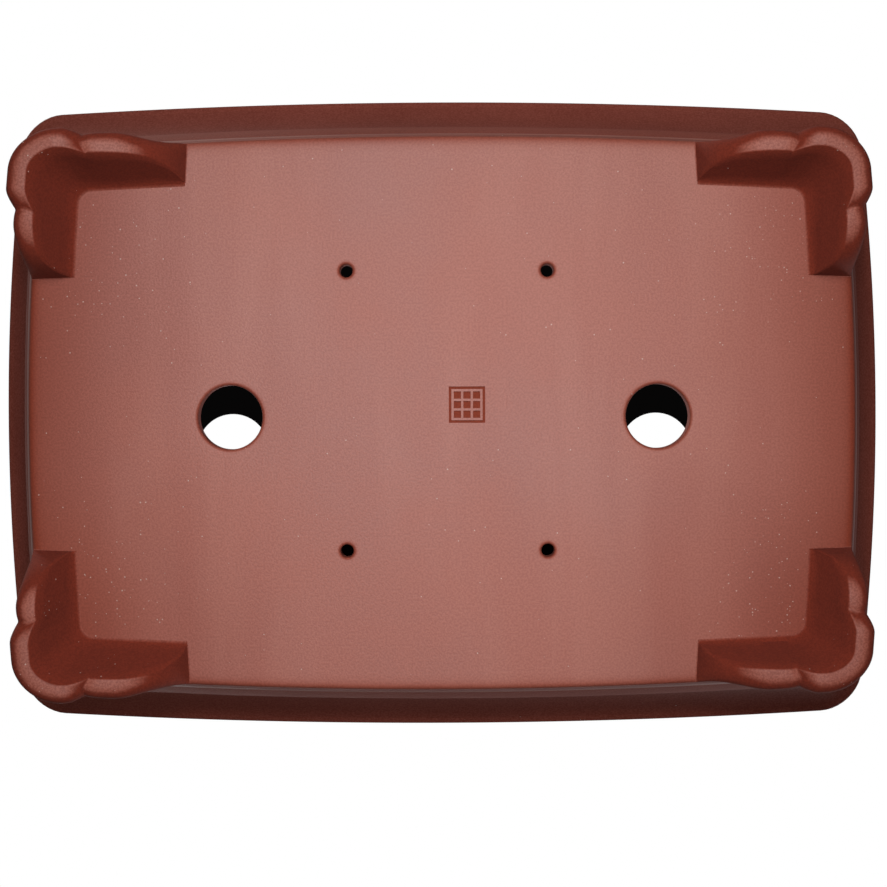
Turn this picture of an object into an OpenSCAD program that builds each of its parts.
// Unglazed rectangular bonsai pot on four cloud feet, slab built.
// Origin at the middle of the footprint, on the ground. +X runs along the long side, +Z is up.

/* [Body] */
// Length over the lip, at the middle of the short sides
pot_l = 450; // [380:1:520]
// Width over the lip, at the middle of the long sides
pot_w = 322; // [260:1:380]
// Height of the body, from its underside to the top of the lip
body_h = 116; // [100:1:140]
// Thickness of the floor
floor_t = 11; // [8:0.5:14]
// Thickness of the walls, measured level
wall_t = 11; // [9:0.5:13]
// Radius of the bow of the long sides, at the underside
long_bow_r = 2600; // [2400:50:6000]
// How much that radius grows for each millimetre a level stands out
long_bow_gain = 34; // [0:1:60]
// Radius of the bow of the short sides
short_bow_r = 1350; // [1200:50:4000]
// Corner radius of the underside
corner_r = 12; // [10:0.5:18]

/* [Wall curve] */
// How far the neck stands out from the underside's edge
neck_out = 12; // [8:0.5:15]
// Height of the neck above the underside, where the lip starts to flare
neck_h = 66; // [55:1:75]
// How far the lip stands out from the underside's edge
lip_out = 32; // [26:0.5:36]
// Height of the lip's outermost edge above the underside
lip_h = 110; // [100:1:112]
// Height above the underside of the joint between the walls and the lip strips
lip_joint_h = 84; // [72:1:95]

/* [Feet] */
// Height of the feet
foot_h = 28; // [18:1:36]
// Thickness of a foot where it joins the floor
foot_t = 18.5; // [15:0.5:23]
// Width of a foot's sole
sole_w = 10; // [8:0.5:12]
// How far the second lobe stays above the ground
lobe_lift = 2; // [1:0.5:5]
// Depth of the notch between the lobes
notch_d = 1.3; // [0.5:0.1:2.5]
// Length of a foot's arm along the long side
long_arm = 70.5; // [60:0.5:90]
// Length of the corner lobe along the long side
long_lobe = 24; // [20:1:32]
// How far the corner lobe flares out of the long side
long_flare = 7.5; // [4:0.5:10]
// Length of a foot's arm along the short side
short_arm = 62; // [54:0.5:80]
// Length of the corner lobe along the short side
short_lobe = 30; // [20:1:34]
// How far the corner lobe flares out of the short side
short_flare = 9; // [4:0.5:10]

/* [Holes] */
// Diameter of the drain holes
drain_d = 30; // [20:1:40]
// Distance between the drain holes
drain_pitch = 200; // [140:1:240]
// Diameter of the wire holes
wire_d = 6; // [4:0.5:8]
// Distance between the wire holes along the pot
wire_pitch_x = 94; // [60:1:120]
// Distance between the wire holes across the pot
wire_pitch_y = 131; // [90:1:160]
// Width of the softened mouth of each hole
mouth = 1.5; // [0.5:0.25:2]

/* [Seal] */
// Side of the impressed square
seal_side = 17; // [12:0.5:22]
// Depth of the impression
seal_depth = 0.8; // [0.5:0.1:1.5]

/* [Hidden] */
$fn = 64;
arc_steps = 6;
side_steps = 8;
base_l = pot_l - 2 * lip_out;
base_w = pot_w - 2 * lip_out;
edge_r = 2.5;
lip_edge = 3;
lobe_end_h = 1.5;
notch_w = 5;
notch_blend = 12;
flare_run = 26;
sole_round = 1.5;
foot_in_r = 7;
// Arm, corner lobe, rise, flare of the second lobe, where that flare starts, and flare of the corner lobe
long_side = [long_arm, long_lobe, 12, 4.6, 8, long_flare];
short_side = [short_arm, short_lobe, 7.5, 5.4, 0, short_flare];
drain_off = [1, 1.6];
wire_off = [2.4, -1.2];
seal_at = [11.7, -4];
clay = "#a86458";
burnished = "#6e4038";
over = 1;
sliver = 0.01;

// How far the outer face stands out from the underside's edge, at a height above the underside
function outer(z) = z < neck_h
    ? neck_out * sin(90 * z / neck_h)
    : neck_out + (lip_out - neck_out) * pow((min(z, lip_h) - neck_h) / (lip_h - neck_h), 2);

// The points of a rounded rectangle's corner, from side to side
function corner(a, b, r, q) = [
    for (i = [0:arc_steps])
        let (t = 90 * (q + i / arc_steps), sx = q == 0 || q == 3 ? 1 : -1, sy = q < 2 ? 1 : -1)
            [sx * (a - r) + r * cos(t), sy * (b - r) + r * sin(t)]
];

function between(p, q) = [for (i = [1:side_steps - 1]) p + (q - p) * i / side_steps];

// Bows a point's sides outwards in the middle, on the level that stands out by d
function bowed(p, d = 0) = [
    p.x * (1 - p.y * p.y / (2 * short_bow_r * (base_l / 2 + d))),
    p.y * (1 - p.x * p.x / (2 * (long_bow_r + long_bow_gain * d) * (base_w / 2 + d))),
];

// One level outline of the pot, standing out by d from the underside's edge
function ring(d, z) = let (a = base_l / 2 + d, b = base_w / 2 + d, r = corner_r + d / 4) [
    for (q = [0:3])
        let (here = corner(a, b, r, q), next = corner(a, b, r, (q + 1) % 4))
            for (p = concat(here, between(here[arc_steps], next[0])))
                let (w = bowed(p, d)) [w.x, w.y, foot_h + z]
];

// A closed solid through a list of rings with the same number of points
module loft(rings) {
    n = len(rings[0]);
    last = len(rings) - 1;
    faces = concat(
        [[for (i = [n - 1:-1:0]) i]],
        [for (k = [0:last - 1], i = [0:n - 1])
            [k * n + i, k * n + (i + 1) % n, (k + 1) * n + (i + 1) % n, (k + 1) * n + i]],
        [[for (i = [0:n - 1]) last * n + i]]
    );
    polyhedron([for (r = rings) each r], [for (f = faces) [for (i = [len(f) - 1:-1:0]) f[i]]], 4);
}

// The shell between two heights, open above and below
module shell(heights) {
    first = heights[0];
    last = heights[len(heights) - 1];
    difference() {
        loft([for (z = heights) ring(outer(z), z)]);
        loft(concat(
            [ring(outer(first) - wall_t, first - over)],
            [for (z = heights) ring(outer(z) - wall_t, z)],
            [ring(outer(last) - wall_t, last + over)]
        ));
    }
}

// The quarter of the plan that belongs to one side, split on the corner mitres
module side_sector(side) {
    m = (base_l - base_w) / 2;
    far = pot_w;
    long_side = [[-m, 0], [m, 0], [m + far, far], [-m - far, far]];
    short_side = [[m, 0], [m + far, -far], [m + far, far]];
    flip = side == "back" || side == "right" ? 0 : 180;
    rotate(flip) linear_extrude(2 * pot_w)
        polygon(side == "back" || side == "front" ? long_side : short_side);
}

module wall(side) {
    steps = 8;
    color(burnished) intersection() {
        shell([for (i = [0:steps]) floor_t + (lip_joint_h - floor_t) * i / steps]);
        side_sector(side);
    }
}

// The flared strip luted on top of the walls
module rim(side) {
    steps = 4;
    flare = [for (i = [0:steps]) lip_joint_h + (lip_h - lip_joint_h) * i / steps];
    inner_top = lip_out - wall_t;
    color(burnished) intersection() {
        difference() {
            loft(concat(
                [for (z = flare) ring(outer(z), z)],
                [ring(lip_out, body_h - lip_edge), ring(lip_out - lip_edge, body_h)]
            ));
            loft(concat(
                [ring(outer(lip_joint_h) - wall_t, lip_joint_h - over)],
                [for (z = flare) ring(outer(z) - wall_t, z)],
                [ring(inner_top, body_h - lip_edge), ring(inner_top + lip_edge, body_h + sliver)]
            ));
        }
        side_sector(side);
    }
}

module hole(d, at) {
    translate([at.x, at.y, foot_h]) {
        translate([0, 0, -over]) cylinder(h = floor_t + 2 * over, d = d);
        translate([0, 0, -sliver]) cylinder(h = mouth, d1 = d + 2 * mouth, d2 = d);
    }
}

// A plain fret of nine small squares in a frame
module seal() {
    line = seal_side / 14;
    dot = seal_side / 5;
    gap = (seal_side - 2 * line - 3 * dot) / 4;
    translate([seal_at.x, seal_at.y, foot_h - over]) linear_extrude(over + seal_depth) {
        difference() {
            square(seal_side, center = true);
            square(seal_side - 2 * line, center = true);
        }
        for (i = [-1:1], j = [-1:1]) translate([i, j] * (dot + gap)) square(dot, center = true);
    }
}

module floor_slab() {
    color(clay) difference() {
        loft([
            ring(0, 0),
            ring(outer(edge_r), edge_r),
            ring(outer(floor_t), floor_t),
        ]);
        for (s = [-1, 1]) hole(drain_d, drain_off + [s * drain_pitch / 2, 0]);
        for (s = [-1, 1], t = [-1, 1])
            hole(wire_d, wire_off + [s * wire_pitch_x, t * wire_pitch_y] / 2);
        seal();
    }
}

// 0 to 1 with a soft start and end
function eased(v) = let (c = max(0, min(1, v))) c * c * (3 - 2 * c);

// How far a place lies past the notch, at a distance from the arm's free end
function past_notch(t, side) = t - (side[0] - side[1]);

// 0 on the second lobe, 1 on the corner lobe
function corner_share(t, side) = eased((past_notch(t, side) + 2) / notch_blend);

function notch_cut(t, side) = notch_d * pow(max(0, 1 - abs(past_notch(t, side)) / notch_w), 2);

function lobe_h(t, side) = foot_h - lobe_lift * (1 - corner_share(t, side));

// How deep an arm reaches below the floor
function sole_depth(t, side) =
    let (grown = (1 - exp(-t / side[2])) / (1 - exp((side[1] - side[0]) / side[2])))
        max(lobe_end_h, lobe_h(t, side) * min(1, grown) - notch_cut(t, side));

// How far an arm's outer face flares out
function flare_out(t, side) =
    side[3] * eased((t - side[4]) / flare_run) + (side[5] - side[3]) * corner_share(t, side)
    - 0.7 * notch_cut(t, side);

// How far the inner face leans out for each millimetre of depth
function inner_lean(t, side) =
    (foot_t - sole_w + side[3] + (side[5] - side[3]) * corner_share(t, side)) / lobe_h(t, side);

// One section across a foot: base, inner edge first, then the outer face, the sole and the inner edge.
// The outer face leans out quickly at first and is upright over its lowest tenth.
function section(at_in, at_out, depth, flare, lean, dir_out) =
    [
        [at_in.x, at_in.y, foot_h],
        [at_out.x, at_out.y, foot_h],
        [for (k = [0:1]) at_out[k] + dir_out[k] * flare * 0.8, foot_h - depth * 0.6],
        [for (k = [0:1]) at_out[k] + dir_out[k] * flare, foot_h - depth * 0.9],
        [for (k = [0:1]) at_out[k] + dir_out[k] * (flare - sole_round), foot_h - depth],
        [for (k = [0:1]) at_in[k] + dir_out[k] * lean * depth, foot_h - depth],
    ];

// The sections of an arm between two pairs of points on its inner and outer base lines
function arm_sections(in_from, in_to, out_from, out_to, side, dir_out) =
    let (steps = 18, reach = norm(out_to - out_from))
        [for (i = [0:steps - 1]) let (g = i / steps, t = g * reach)
            section(
                bowed(in_from + g * (in_to - in_from)), bowed(out_from + g * (out_to - out_from)),
                sole_depth(t, side), flare_out(t, side), inner_lean(t, side), dir_out
            )];

// The foot of the back right corner
module cloud_foot() {
    a = base_l / 2;
    b = base_w / 2;
    inner_at = [a, b] - (foot_t + foot_in_r) * [1, 1];
    outer_at = [a, b] - corner_r * [1, 1];
    fan = 8;
    long_part = arm_sections(
        [a - long_arm, b - foot_t], [inner_at.x, b - foot_t], [a - long_arm, b], [outer_at.x, b],
        long_side, [0, 1]
    );
    short_part = arm_sections(
        [a - foot_t, b - short_arm], [a - foot_t, inner_at.y], [a, b - short_arm], [a, outer_at.y],
        short_side, [1, 0]
    );
    turn = [for (i = [0:fan])
        let (
            d = [sin(90 * i / fan), cos(90 * i / fan)],
            flare = d.y * d.y * long_flare + d.x * d.x * short_flare
        )
            section(
                bowed(inner_at + foot_in_r * d), bowed(outer_at + corner_r * d),
                foot_h, flare, (foot_t - sole_w + flare) / foot_h, d
            )];
    last = len(short_part) - 1;
    color(clay) loft(concat(long_part, turn, [for (i = [last:-1:0]) short_part[i]]));
}

module long_wall_front() { wall("front"); }
module long_wall_back() { wall("back"); }
module short_wall_left() { wall("left"); }
module short_wall_right() { wall("right"); }
module rim_front() { rim("front"); }
module rim_back() { rim("back"); }
module rim_left() { rim("left"); }
module rim_right() { rim("right"); }
module foot_back_right() { cloud_foot(); }
module foot_back_left() { mirror([1, 0, 0]) cloud_foot(); }
module foot_front_right() { mirror([0, 1, 0]) cloud_foot(); }
module foot_front_left() { mirror([1, 0, 0]) mirror([0, 1, 0]) cloud_foot(); }

floor_slab();
long_wall_front();
long_wall_back();
short_wall_left();
short_wall_right();
rim_front();
rim_back();
rim_left();
rim_right();
foot_front_left();
foot_front_right();
foot_back_left();
foot_back_right();
